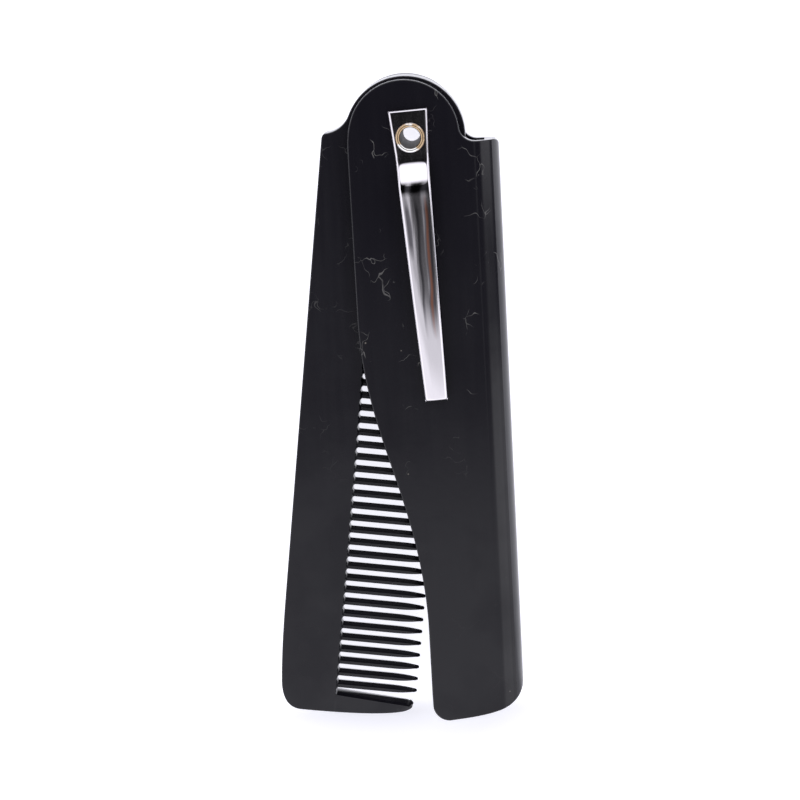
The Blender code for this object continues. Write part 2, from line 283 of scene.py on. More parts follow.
def inset(points, distance):
    """Each point of an anticlockwise outline moved inwards, square to both its sides, by its own distance."""
    before = points - np.roll(points, 1, axis=0)
    after = np.roll(points, -1, axis=0) - points
    normals = [np.stack([-s[:, 1], s[:, 0]], axis=1) for s in (before, after)]
    normals = [n / np.linalg.norm(n, axis=1, keepdims=True) for n in normals]
    both = normals[0] + normals[1]
    both /= np.linalg.norm(both, axis=1, keepdims=True)
    reach = distance / np.maximum(0.5, (both * normals[0]).sum(axis=1))
    return points + both * reach[:, None]


def mesh_of(name, points, faces):
    """A mesh of the points, given in millimetres, and the faces, its normals pointing out."""
    mesh = bpy.data.meshes.new(name)
    mesh.from_pydata(np.asarray(points) * MM, [], [list(map(int, face)) for face in faces])
    bm = bmesh.new()
    bm.from_mesh(mesh)
    bmesh.ops.recalc_face_normals(bm, faces=bm.faces)
    bm.to_mesh(mesh)
    bm.free()
    return mesh


def grid_faces(rows, columns):
    """Quads of a grid whose rows are closed loops: corner (r, c) joins (r, c+1), (r+1, c+1) and (r+1, c)."""
    r, c = np.meshgrid(np.arange(rows - 1), np.arange(columns), indexing="ij")
    here = r * columns + c
    beside = r * columns + (c + 1) % columns
    return np.stack([here, beside, beside + columns, here + columns], axis=-1).reshape(-1, 4)


def stacked(name, loops):
    """A closed body: a grid through loops of the same number of points, with a flat face on each end loop."""
    loops = np.array(loops)
    rows, columns, _ = loops.shape
    faces = [list(quad) for quad in grid_faces(rows, columns)]
    faces.append(list(range(columns - 1, -1, -1)))
    faces.append(list(range((rows - 1) * columns, rows * columns)))
    return mesh_of(name, loops.reshape(-1, 3), faces)


def at_height(points, z):
    """Plan points with the height z, one number or one for each point."""
    return np.column_stack([points, np.broadcast_to(z, len(points))])


def drum(name, radius, low, high, steps=96):
    """A plain cylinder body round the rivet's axis, for cutting bores."""
    ring = arc(0.0, 0.0, radius, 0.0, 360.0, steps)[:-1]
    return stacked(name, [at_height(ring, low), at_height(ring, high)])


def put_in_place(mesh, turn=0.0):
    """Turns the mesh about the rivet's axis by turn degrees and carries it to the hinge's place."""
    move = Matrix.Translation((PIVOT_X * MM, PIVOT_Y * MM, 0.0))
    mesh.transform(move @ Matrix.Rotation(math.radians(turn), 4, "Z"))


def piece(name, mesh, material, body, node):
    """An object for the mesh at the origin, riding on its body in place of its CAD node."""
    made = bpy.data.objects.new(name, mesh)
    bpy.context.scene.collection.objects.link(made)
    even = made.modifiers.new("even_normals", "WEIGHTED_NORMAL")
    even.keep_sharp = True
    mesh.materials.clear()
    mesh.materials.append(material)
    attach(made, body)
    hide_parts(node)
    return made


def cut(mesh, cutters, round_radius=0.0, segments=2):
    """The mesh less the cutters' bodies, its sharp edges rounded where a radius is given."""
    target = bpy.data.objects.new("being_cut", mesh)
    bpy.context.scene.collection.objects.link(target)
    helpers = [target]
    for cutter in cutters:
        helper = bpy.data.objects.new(cutter.name, cutter)
        bpy.context.scene.collection.objects.link(helper)
        helpers.append(helper)
        boolean = target.modifiers.new("cut", "BOOLEAN")
        boolean.operation = "DIFFERENCE"
        boolean.solver = "EXACT"
        boolean.object = helper
    if round_radius:
        bevel = target.modifiers.new("round", "BEVEL")
        bevel.width = round_radius * MM
        bevel.segments = segments
        bevel.limit_method = "ANGLE"
        bevel.angle_limit = math.radians(50)
        bevel.use_clamp_overlap = True
    depsgraph = bpy.context.evaluated_depsgraph_get()
    done = bpy.data.meshes.new_from_object(target.evaluated_get(depsgraph))
    for helper in helpers:
        bpy.data.objects.remove(helper, do_unlink=True)
    return done


def split_at(mesh, planes):
    """Cuts edges into the mesh along planes, each given as a point and a normal in millimetres."""
    bm = bmesh.new()
    bm.from_mesh(mesh)
    for point, normal in planes:
        everything = list(bm.verts) + list(bm.edges) + list(bm.faces)
        place = [part * MM for part in point]
        bmesh.ops.bisect_plane(bm, geom=everything, plane_co=place, plane_no=normal, dist=1e-8)
    bm.to_mesh(mesh)
    bm.free()


def reshape(mesh, height):
    """Gives every vertex the height that the function works out from its x, y and z in millimetres."""
    points = np.empty(len(mesh.vertices) * 3)
    mesh.vertices.foreach_get("co", points)
    points = points.reshape(-1, 3) / MM
    points[:, 2] = height(points[:, 0], points[:, 1], points[:, 2])
    mesh.vertices.foreach_set("co", (points * MM).ravel())
    mesh.update()


def shade(mesh, angle):
    """Smooth shading, with edges sharper than the angle kept crisp."""
    mesh.shade_smooth()
    mesh.set_sharp_from_angle(angle=math.radians(angle))


def handle_outline(spread):
    """Anticlockwise from the spine's lower end; spread is 0 at the front face, 1 at the back face."""
    grow = DRAFT * spread
    head_radius = HEAD_RADIUS + grow
    left_x = LEFT_X - grow
    narrow_x = NARROW_X - grow
    bottom_y = BOTTOM_Y - grow
    notch_y = NOTCH_Y - NOTCH_FALL * spread
    notch_centre_y = notch_y + NOTCH_RADIUS
    notch_centre_x = HEAD_X + math.sqrt((head_radius + NOTCH_RADIUS) ** 2 - (notch_centre_y - HEAD_Y) ** 2)
    meet = math.degrees(math.atan2(notch_centre_y - HEAD_Y, notch_centre_x - HEAD_X))
    spine_high = notch_y - SPINE_TOP_RADIUS
    spine_y = np.linspace(SPINE_END_Y, spine_high, 81)
    end = math.radians(HEAD_END)
    head_end = (HEAD_X + head_radius * math.cos(end), HEAD_Y + head_radius * math.sin(end))
    head_on = (head_end[0] - 2.2 * math.sin(end), head_end[1] + 2.2 * math.cos(end))
    bottom_start = (narrow_x + BOTTOM_RADIUS, bottom_y)
    return np.concatenate([
        np.stack([np.full_like(spine_y, SPINE_X), spine_y], axis=1)[:-1],
        arc(SPINE_X - SPINE_TOP_RADIUS, spine_high, SPINE_TOP_RADIUS, 0, 90, 10),
        arc(notch_centre_x, notch_centre_y, NOTCH_RADIUS, 270, 180 + meet, 16),
        arc(HEAD_X, HEAD_Y, head_radius, meet, HEAD_END, 90)[1:],
        bezier(head_end, head_on, (left_x, LEFT_TOP_Y + 2.6), (left_x, LEFT_TOP_Y), 20)[1:],
        bezier((left_x, SWEEP_START_Y), (left_x, -50.0), (narrow_x, -60.0), (narrow_x, SWEEP_END_Y), 70),
        arc(narrow_x + BOTTOM_RADIUS, bottom_y + BOTTOM_RADIUS, BOTTOM_RADIUS, 180, 270, 16),
        bezier(bottom_start, (5.5, bottom_y + 0.45), (14.0, -98.0), (SPINE_X, SPINE_END_Y), 40)[1:-1],
    ])


def round_drop(x, radius):
    """How far a half round of that radius at the spine has fallen from the flat face at x."""
    share = np.clip((x - SPINE_X + radius) / radius, 0, 1)
    return radius * (1 - np.sqrt(1 - share * share))


def handle_height(x, y, z):
    """Heights from 0 to full thickness, squeezed between the half rounds of the spine's two faces."""
    low = round_drop(x, SPINE_BACK_ROUND)
    high = HANDLE_THICK - round_drop(x, SPINE_ROUND)
    return low + z / HANDLE_THICK * (high - low)


def make_handle(material):
    """Loops of the outline, inset by r (1 - sin a) at depth r (1 - cos a), less the channel and the bores."""
    angle = np.linspace(0, math.pi / 2, 7)
    drop = EDGE_ROUND * (1 - np.cos(angle))
    back = np.abs(EDGE_ROUND * (1 - np.sin(angle)))
    levels = np.concatenate([drop, HANDLE_THICK - drop[::-1]])
    depths = np.concatenate([back, back[::-1]]) + HOLD_BACK
    loops = []
    for z, depth in zip(levels, depths):
        loops.append(at_height(inset(handle_outline(1 - z / HANDLE_THICK), depth), z))
    body = stacked("handle_shell", loops)
    front = SPINE_X - SPINE_ROUND * (1 - np.sin(np.radians(np.arange(0, 84, 4))))
    rear = SPINE_X - SPINE_BACK_ROUND * (1 - np.sin(np.radians(np.arange(0, 80, 15))))
    split_at(body, [((x, 0, 0), (1, 0, 0)) for x in np.concatenate([front, rear])])
    reshape(body, handle_height)
    slot = np.array([(-60.0, -120.0), (SLOT_END_X, -120.0), (SLOT_END_X, 30.0), (-60.0, 30.0)])
    cutters = [
        stacked("slot", [at_height(slot, CHEEK), at_height(slot, HANDLE_THICK - CHEEK)]),
        drum("bore", CHEEK_BORE_RADIUS, -5.0, HANDLE_THICK + 5.0),
        drum("recess", RECESS_RADIUS, -5.0, RECESS_DEPTH),
    ]
    mesh = cut(body, cutters, CUT_EDGE_ROUND)
    shade(mesh, 35)
    put_in_place(mesh)
    return piece("handle_moulding", mesh, material, "handle_body", "handle")


def comb_outline():
    """Anticlockwise from the hub's right: hub, shoulder, spine edge, bottom, guard tooth, teeth, heel."""
    shoulder_radius = math.dist((HUB_X, HUB_Y), (SHOULDER_X, SHOULDER_Y)) - HUB_RADIUS
    meet = math.degrees(math.atan2(SHOULDER_Y - HUB_Y, SHOULDER_X - HUB_X))
    shoulder_end = 360 - math.degrees(math.acos((SHOULDER_END_X - SHOULDER_X) / shoulder_radius))
    shoulder = arc(SHOULDER_X, SHOULDER_Y, shoulder_radius, meet + 180, shoulder_end, 30)
    side = TOOTH_PITCH / 2 - GAP_HALF
    nose_x = TIP_X - NOSE_RADIUS
    taper = bezier((TAPER_X, -side), (6.5, -side), (7.8, -0.52), (nose_x, -NOSE_RADIUS), 8)
    nose = arc(nose_x, 0.0, NOSE_RADIUS, -90, 90, 12)[1:-1]
    tooth_end = np.concatenate([taper, nose, taper[::-1] * (1, -1)])
    first_gap_y = LAST_GAP_Y + (GAPS - 1) * TOOTH_PITCH
    bottom = (COMB_BOTTOM_X, COMB_BOTTOM_Y)
    tip = (GUARD_TIP_X, GUARD_TIP_Y)
    runs = [
        arc(HUB_X, HUB_Y, HUB_RADIUS, -35, meet, 110),
        shoulder,
        bezier(shoulder[-1], (-14.25, -1.0), (COMB_SPINE_X, -1.35), (COMB_SPINE_X, -2.0), 14),
        bezier((COMB_SPINE_X, -80.0), (COMB_SPINE_X, -88.0), (-14.1, -92.5), COMB_FOOT, 20),
        bezier(COMB_FOOT, (-13.65, -97.2), (-12.6, COMB_BOTTOM_Y), bottom, 24),
        bezier(bottom, (-3.0, COMB_BOTTOM_Y), (4.0, -98.85), GUARD_UNDER, 30),
        bezier(GUARD_UNDER, (8.2, -97.5), (GUARD_TIP_X, GUARD_TIP_Y - 0.35), tip, 12),
        bezier(tip, (GUARD_TIP_X, GUARD_TIP_Y + 0.35), (8.3, -96.25), GUARD_TOP, 10),
    ]
    for n in range(GAPS):
        gap_y = LAST_GAP_Y + n * TOOTH_PITCH
        half = GAP_HALF if n else GUARD_GAP_HALF
        runs.append(arc(ROOT_X + half, gap_y + GAP_HALF - half, half, 270, 90, 12))
        if n < GAPS - 1:
            runs.append(tooth_end + (0.0, gap_y + TOOTH_PITCH / 2))
    runs.append(arc(HEEL_X - 0.4, first_gap_y + GAP_HALF + 0.6, 0.6, -90, 0, 6))
    runs.append([(HEEL_X + 0.2, HEEL_Y)])
    return closed_outline(runs)


def rounding(x, tip_x, length):
    """A quarter circle's fall from 0 to about 1 over the length before the tip."""
    share = np.clip((x - tip_x + length) / length, 0, 0.98)
    return 1 - np.sqrt(1 - share * share)


def half_thickness(x, y):
    """The comb's half thickness: flat body, short step down to the teeth, and rounded tooth tips."""
    step = (BODY_HALF - TOOTH_HALF) * np.clip((x - ROOT_X) / STEP_RUN, 0, 1)
    tooth = step + (TOOTH_HALF - TIP_HALF) * rounding(x, TIP_X, TIP_FALL)
    guard = (BODY_HALF - GUARD_TIP_HALF) * rounding(x, GUARD_TIP_X, GUARD_FALL)
    below_heel = np.clip((HEEL_Y - y) / HEEL_RUN, 0, 1)
    return BODY_HALF - np.where(y < LAST_GAP_Y, guard, tooth * below_heel)


def make_comb(material):
    """Loops of the outline from face to face: rounded rims on the body, straight bevels on the teeth."""
    outline = comb_outline()
    x, y = outline[:, 0], outline[:, 1]
    on_teeth = (y < HEEL_Y - HEEL_RUN) * np.clip((y - LAST_GAP_Y + BEVEL_DROP) / BEVEL_RUN, 0, 1)
    tooth = np.clip((x - ROOT_X) / STEP_RUN, 0, 1) * on_teeth
    share_tooth = np.array([0.0, 0.45, 0.9, 0.955, 0.985, 1.0, 1.0])
    inset_tooth = TOOTH_INSET * np.array([0.0, 0.45, 0.9, 0.965, 1.02, 1.1, 1.16])
    angles = np.linspace(0, math.pi / 2, 6)
    share_body = np.concatenate([[0.0], 1 - BODY_ROUND / BODY_HALF * (1 - np.sin(angles))])
    inset_body = np.concatenate([[0.0], BODY_ROUND * (1 - np.cos(angles))])
    upper = []
    guard = np.where(y < LAST_GAP_Y - GAP_HALF / 2, GUARD_INSET / TOOTH_INSET, 1.0)
    for k in range(7):
        distance = tooth * guard * inset_tooth[k] + (1 - tooth) * inset_body[k] + HOLD_BACK
        share = tooth * share_tooth[k] + (1 - tooth) * share_body[k]
        upper.append(at_height(inset(outline, distance), share))
    lower = [ring * (1, 1, -1) for ring in reversed(upper[1:])]
    mesh = stacked("comb_shell", lower + upper)
    fall = np.array([0.0, 0.25, 0.45, 0.6, 0.72, 0.82, 0.9, 0.96])
    across = [ROOT_X, ROOT_X + STEP_RUN, *(TIP_X - TIP_FALL * (1 - fall)), GUARD_TIP_X - GUARD_FALL]
    planes = [((place, 0, 0), (1, 0, 0)) for place in across]
    planes += [((0, place, 0), (0, 1, 0)) for place in (HEEL_Y, HEEL_Y - HEEL_RUN)]
    split_at(mesh, planes)
    reshape(mesh, lambda x, y, z: MID_Z + z * half_thickness(x, y))
    mesh = cut(mesh, [drum("comb_bore", COMB_BORE_RADIUS, -5.0, HANDLE_THICK + 5.0)])
    shade(mesh, 20)
    put_in_place(mesh, -OPENING)
    return piece("comb_moulding", mesh, material, "comb_body", "comb")


def clip_path():
    """Stations along the clip and its height there: flat tab, S bend, slow fall and a curl to the tip."""
    along = np.concatenate([
        np.linspace(TAB_END, TAB_END + CLIP_EDGE, 8),
        np.linspace(TAB_END + CLIP_EDGE, BEND_START, 24)[1:],
        np.linspace(BEND_START, BEND_END + 1.5, 60)[1:],
        np.linspace(BEND_END + 1.5, CLIP_TIP - CLIP_EDGE, 70)[1:],
        np.linspace(CLIP_TIP - CLIP_EDGE, CLIP_TIP, 8)[1:],
    ])
    arm = np.maximum(0, (along - BEND_END) / (CLIP_TIP - BEND_END))
    curl = np.maximum(0, (along - CURL_START) / (CLIP_TIP - CURL_START))
    bend = smooth((along - BEND_START) / (BEND_END - BEND_START))
    return along, CLIP_RISE * bend - ARM_FALL * arm - CURL_FALL * curl**2


def make_clip(material):
    """Sections along the path: flat below, crowned above, with the rim rounded by a quarter circle."""
    along, height = clip_path()
    slope = np.gradient(height, along)
    normal_y = slope / np.sqrt(1 + slope**2)
    normal_z = 1 / np.sqrt(1 + slope**2)
    widths = (TAB_HALF_WIDTH, BEND_HALF_WIDTH, TIP_HALF_WIDTH)
    half = np.interp(along, (TAB_END, BEND_START, CLIP_TIP), widths)
    crown = CLIP_CROWN * smooth((along - BEND_START) / (BEND_END - BEND_START))
    quarter = 1 - np.cos(np.linspace(0, math.pi / 2, 9))
    from_edge = np.concatenate([quarter[:-1] * CLIP_EDGE, [CLIP_EDGE, CLIP_EDGE + CLIP_LIP]])
    inner = np.linspace(-1, 1, 19)[1:-1]
    loops = []
    for k in range(len(along)):
        left = -half[k] + from_edge
        middle = inner * (half[k] - CLIP_EDGE - CLIP_LIP)
        x = np.concatenate([left, middle, -left[::-1]])
        side = np.maximum(0, CLIP_EDGE - (half[k] - np.abs(x)))
        end = max(0.0, CLIP_EDGE - min(along[k] - TAB_END, CLIP_TIP - along[k]))
        drop = CLIP_EDGE - np.sqrt(np.maximum(0, CLIP_EDGE**2 - side**2 - end**2))
        lift = crown[k] * (1 - (x / half[k]) ** 2)
        top = lift + CLIP_THICK - drop
        under_x = np.linspace(half[k], -half[k], 15)
        under = crown[k] * (1 - (under_x / half[k]) ** 2)
        section_x = np.concatenate([x, under_x])
        section_n = np.concatenate([top, under])
        loops.append(np.column_stack([
            section_x,
            -along[k] + normal_y[k] * section_n,
            TAB_Z + height[k] + normal_z[k] * section_n,
        ]))
    body = stacked("clip_strip", loops)
    mesh = cut(body, [drum("clip_bore", CLIP_BORE_RADIUS, -5.0, HANDLE_THICK + 5.0)])
    shade(mesh, 40)
    points = np.empty(len(mesh.vertices) * 3)
    mesh.vertices.foreach_get("co", points)
    points = points.reshape(-1, 3) / MM
    half_here = np.interp(-points[:, 1], (TAB_END, BEND_START, CLIP_TIP), widths)
    notes = {
        "from_rim_mm": half_here - np.abs(points[:, 0]),
        "along_mm": -points[:, 1],
        "across": points[:, 0] / half_here,
    }
    for name, values in notes.items():
        mesh.attributes.new(name, "FLOAT", "POINT").data.foreach_set("value", values)
    put_in_place(mesh, CLIP_TURN)
    return piece("pocket_clip", mesh, material, "handle_body", "clip")


def make_rivet(material):
    """A lathe body: the closed (radius, height) profile turned round the axis, each rim a half round.

    The last row of faces joins the profile's end to its start, so its corners are counted modulo the rest.
    """
    front = TAB_Z + CLIP_THICK + FIT_GAP * 0.3
    back = RIVET_BACK + FLANGE_THICK + RIM_FOOT
    roll_x = (FLANGE_RADIUS + RIVET_HOLE_RADIUS) / 2 + 0.02
    roll = FLANGE_RADIUS - roll_x
    rise = FLANGE_THICK - RIM_FOOT
    half_turn = np.radians(np.linspace(0, 180, 19))
    rim_x = roll_x + roll * np.cos(half_turn)
    rim_z = front + RIM_FOOT + rise * np.sin(half_turn)
    front_rim = np.stack([rim_x, rim_z], axis=1)
    back_rim = np.stack([rim_x, back + front - rim_z], axis=1)
    neck = np.stack([
        RIVET_HOLE_RADIUS - RIVET_NECK * smooth(np.linspace(0, 1, 12)),
        np.linspace(front - NECK_TOP, RIVET_BACK + NECK_FOOT, 12),
    ], axis=1)
    profile = np.concatenate([
        [(SHANK_RADIUS, front), (FLANGE_RADIUS - RIM_LIP, front)],
        front_rim,
        neck,
        back_rim[::-1],
        [(FLANGE_RADIUS - RIM_LIP, back), (SHANK_RADIUS, back)],
    ])
    steps = 96
    a = np.linspace(0, 2 * math.pi, steps, endpoint=False)
    r, z = profile[:, 0], profile[:, 1]
    height = np.repeat(z[:, None], steps, 1)
    grid = np.stack([np.outer(r, np.cos(a)), np.outer(r, np.sin(a)), height], axis=-1)
    faces = grid_faces(len(profile) + 1, steps) % (len(profile) * steps)
    mesh = mesh_of("rivet_turning", grid.reshape(-1, 3), faces)
    shade(mesh, 50)
    put_in_place(mesh)
    return piece("hollow_rivet", mesh, material, "handle_body", "rivet")


def new_material(name):
    """A node material with its shader and Object coordinates."""
    material = bpy.data.materials.new(name)
    material.use_nodes = True
    tree = material.node_tree
    place = add(tree, "ShaderNodeTexCoord").outputs["Object"]
    return material, tree, tree.nodes["Principled BSDF"], place


def stretched_noise(tree, place, scale, detail=2.0):
    """Noise drawn out along the axes where the scale, in waves per metre, is low."""
    stretched = add(tree, "ShaderNodeMapping", place, in_Scale=scale)
    return add(tree, NOISE, stretched, in_Scale=1.0, in_Detail=detail)


def black_plastic(name, tones, roughness, lint_share):
    """Injection-moulded black ABS: a deep gloss with finger smudges, curls of lint, hairline wear and dust.

    The curls are the borders of 4 mm Voronoi cells, bent by noise and broken into scraps by more noise.
    They lie round the clip, above LINT_FROM_Y.
    """
    material, tree, shader, place = new_material(name)
    shader.inputs["IOR"].default_value = 1.46
    flow = add(tree, NOISE, place, in_Scale=TONE_WAVES, in_Detail=3.0)
    tone = add(tree, MIX, flow, data_type="RGBA", in_6=tones[0], in_7=tones[1])
    bend = add(tree, NOISE, place, in_Scale=LINT_BEND_WAVES, in_Detail=1.5).outputs["Color"]
    push = add(tree, VECTOR, bend, LINT_BEND, operation="MULTIPLY")
    bent = add(tree, VECTOR, place, push, operation="ADD")
    cells = add(tree, CELLS, bent, feature="DISTANCE_TO_EDGE", in_Scale=LINT_CELLS)
    curl = add(tree, RAMP, cells.outputs["Distance"], 0.016, 0.006)
    patches = add(tree, NOISE, place, in_Scale=LINT_PATCH_WAVES, in_Detail=3.0)
    scraps = add(tree, RAMP, patches, 0.57, 0.63, 0.0, lint_share)
    lint = add(tree, MATH, curl, scraps, operation="MULTIPLY")
    upwards = add(tree, "ShaderNodeSeparateXYZ", place).outputs["Y"]
    near_clip = add(tree, RAMP, upwards, LINT_FROM_Y, LINT_FULL_Y, 0.05, 1.0)
    lint = add(tree, MATH, lint, near_clip, operation="MULTIPLY")
    grains = add(tree, CELLS, place, in_Scale=DUST_CELLS)
    chance = add(tree, "ShaderNodeSeparateColor", grains.outputs["Color"]).outputs["Red"]
    chosen = add(tree, MATH, chance, DUST_SHARE, operation="LESS_THAN")
    dot = add(tree, RAMP, grains.outputs["Distance"], 0.06, 0.025, 0.0, 0.6)
    speck = add(tree, MATH, dot, chosen, operation="MULTIPLY")
    worn = add(tree, MIX, lint, data_type="RGBA", in_6=tone, in_7="#8a8886")
    dusty = add(tree, MIX, speck, data_type="RGBA", in_6=worn, in_7="#8d867f")
    fill(tree, shader.inputs["Base Color"], dusty)
    smudge = add(tree, NOISE, place, in_Scale=SMUDGE_WAVES, in_Detail=5.0)
    fill(tree, shader.inputs["Specular IOR Level"], add(tree, RAMP, smudge, 0.38, 0.56, 0.4, 0.52))
    hairline = stretched_noise(tree, place, WEAR_WAVES)
    gloss = add(tree, RAMP, hairline, 0.3, 0.8, roughness, roughness + 0.05)
    lint_dulls = add(tree, MATH, lint, 0.3, operation="MULTIPLY")
    fill(tree, shader.inputs["Roughness"], add(tree, MATH, gloss, lint_dulls, operation="ADD"))
    grain = add(tree, NOISE, place, in_Scale=MOULD_GRAIN_WAVES, in_Detail=2.0)
    bump = add(tree, "ShaderNodeBump", in_Height=grain, in_Strength=0.02, in_Distance=0.0002)
    fill(tree, shader.inputs["Normal"], bump)
    return material


def spring_steel():
    """Polished spring steel: a dark mirror, with painted reflection streaks, light, grey and straw-brown,
    along the arm.

    The mesh's own attributes say how far each point is from the strip's rim and how far along it lies.
    On the arm the colour is painted in lanes: painted reflection streaks, light, grey and brown, with darker
    lanes between. The bend is darkened all round a bright rounded patch, painted shade that outlines the
    highlight there;
    in the patch |across| and |along| to the fifth power add up to less than one.
    """
    material, tree, shader, place = new_material("polished_spring_steel")
    shader.inputs["Metallic"].default_value = 1.0
    rim = add(tree, "ShaderNodeAttribute", attribute_name="from_rim_mm").outputs["Fac"]
    along = add(tree, "ShaderNodeAttribute", attribute_name="along_mm").outputs["Fac"]
    across = add(tree, "ShaderNodeAttribute", attribute_name="across").outputs["Fac"]
    # Lanes of painted reflection streaks on the arm, wavering with noise
    waver = add(tree, NOISE, place, in_Scale=STREAK_WAVES, in_Detail=1.0)
    waver = add(tree, RAMP, waver, 0.3, 0.7, -0.12, 0.12)
    lane = add(tree, MATH, across, waver, operation="ADD")
    on_arm = band(tree, along, (8.8, 11.5), (27.0, 33.0))
    inner = add(tree, RAMP, rim, 0.45, 0.7)
    inner = add(tree, MATH, on_arm, inner, operation="MULTIPLY")
    lane_start = add(tree, RAMP, lane, -0.55, -0.42)
    low_arm = add(tree, RAMP, along, 17.0, 20.5)
    lane_start = add(tree, MATH, lane_start, low_arm, operation="MAXIMUM")
    lane_end = add(tree, RAMP, lane, -0.12, -0.22)
    light_lane = add(tree, MATH, lane_start, lane_end, operation="MULTIPLY")
    grey_lane = band(tree, lane, (-0.05, 0.08), (0.3, 0.4), 0.6)
    brown_lane = band(tree, lane, (0.4, 0.5), (0.58, 0.68), 0.8)
    bright_streaks = add(tree, MATH, light_lane, grey_lane, operation="MAXIMUM")
    dull = add(tree, MATH, 0.8, bright_streaks, operation="SUBTRACT")
    dull = add(tree, MATH, inner, dull, operation="MULTIPLY")
    brown = add(tree, MATH, inner, brown_lane, operation="MULTIPLY")
    # Painted reflection: the darker lanes and the brown lane are painted into the steel's colour
    tone = add(tree, MIX, dull, data_type="RGBA", in_6="#e8e4ea", in_7="#5c5a62")
    tone = add(tree, MIX, brown, data_type="RGBA", in_6=tone, in_7="#b5785e")
    sideways = add(tree, MATH, across, PATCH_HALF_SHARE, operation="DIVIDE")
    lengthways = add(tree, MATH, along, PATCH_MIDDLE, operation="SUBTRACT")
    lengthways = add(tree, MATH, lengthways, PATCH_HALF_LENGTH, operation="DIVIDE")
    powers = []
    for part in (sideways, lengthways):
        size = add(tree, MATH, part, operation="ABSOLUTE")
        powers.append(add(tree, MATH, size, 5.0, operation="POWER"))
    off_patch = add(tree, RAMP, add(tree, MATH, *powers, operation="ADD"), 0.85, 1.2)
    on_bend = band(tree, along, (3.4, 4.0), (8.3, 9.3))
    painted_bend_shade = add(tree, MATH, off_patch, on_bend, operation="MULTIPLY")
    off_rim = add(tree, RAMP, rim, 0.34, 0.42, 0.0, 0.93)
    painted_bend_shade = add(tree, MATH, painted_bend_shade, off_rim, operation="MULTIPLY")
    # Painted shade: the bend round the highlight patch is darkened, except near the rim
    tone = add(tree, MIX, painted_bend_shade, data_type="RGBA", in_6=tone, in_7="#2a2a32")
    fill(tree, shader.inputs["Base Color"], tone)
    lines = stretched_noise(tree, place, POLISH_WAVES, 3.0)
    fill(tree, shader.inputs["Roughness"], add(tree, RAMP, lines, 0.3, 0.75, 0.05, 0.1))
    bump = add(tree, "ShaderNodeBump", in_Height=lines, in_Strength=0.05, in_Distance=0.0001)
    fill(tree, shader.inputs["Normal"], bump)
    return material


def nickel_plate():
    """Nickel-plated brass, rolled over: brass shows through in warm patches, the near-white plating is partly
    a painted highlight, and the hollow's wall is painted dark as painted shade.
    """
    material, tree, shader, place = new_material("nickel_plated_brass")
    cloud = add(tree, NOISE, place, in_Scale=BRASS_CLOUD_WAVES, in_Detail=3.0)
    patch = add(tree, NOISE, place, in_Scale=PLATING_AND_HIGHLIGHT_WAVES, in_Detail=1.0)
    plating_and_highlight = add(tree, RAMP, patch, 0.44, 0.54)
    warm = add(tree, MIX, cloud, data_type="RGBA", in_6="#a5825c", in_7="#dcc6a4")
    # The near-white plating patches stand partly for painted highlights on the ring
    tone = add(tree, MIX, plating_and_highlight, data_type="RGBA", in_6=warm, in_7="#fbfaf8")
    to_axis = (-HINGE[0], -HINGE[1], 0.0)
    middle = add(tree, "ShaderNodeMapping", place, in_Location=to_axis, in_Scale=(1.0, 1.0, 0.0))
    radius = add(tree, VECTOR, middle, operation="LENGTH").outputs["Value"]
    hole_rim = RIVET_HOLE_RADIUS * MM
    # Painted shade: inside the hole's rim the wall is dark brown, not metallic and rougher
    inside = add(tree, RAMP, radius, hole_rim + 0.00012, hole_rim + 0.00002)
    tone = add(tree, MIX, inside, data_type="RGBA", in_6=tone, in_7="#2c2420")
    fill(tree, shader.inputs["Base Color"], tone)
    fill(tree, shader.inputs["Metallic"], add(tree, MATH, 1.0, inside, operation="SUBTRACT"))
    dull = add(tree, RAMP, cloud, 0.3, 0.7, 0.18, 0.3)
    dull_inside = add(tree, MATH, inside, 0.5, operation="MULTIPLY")
    fill(tree, shader.inputs["Roughness"], add(tree, MATH, dull, dull_inside, operation="MAXIMUM"))
    return material


def make_floor():
    """A plain sheet of white acrylic lit from below, less so at the front, where contact shadows show."""
    corners = FLOOR_REACH * np.array([(-1.0, -1.0, 0.0), (1.0, -1.0, 0.0), (1.0, 1.0, 0.0), (-1.0, 1.0, 0.0)])
    floor = bpy.data.objects.new("floor", mesh_of("floor", corners, [(0, 1, 2, 3)]))
    bpy.context.scene.collection.objects.link(floor)
    material, tree, shader, place = new_material("white_acrylic")
    forward = add(tree, "ShaderNodeSeparateXYZ", place).outputs["Y"]
    glow = add(tree, RAMP, forward, *GLOW_EDGE, 0.3, 0.93, interpolation_type="SMOOTHSTEP")
    fill(tree, shader.inputs["Emission Strength"], glow)
    shader.inputs["Base Color"].default_value = linear("#f0f0f4")
    shader.inputs["Roughness"].default_value = 0.6
    shader.inputs["Emission Color"].default_value = linear("#f6f6ff")
    floor.data.materials.append(material)


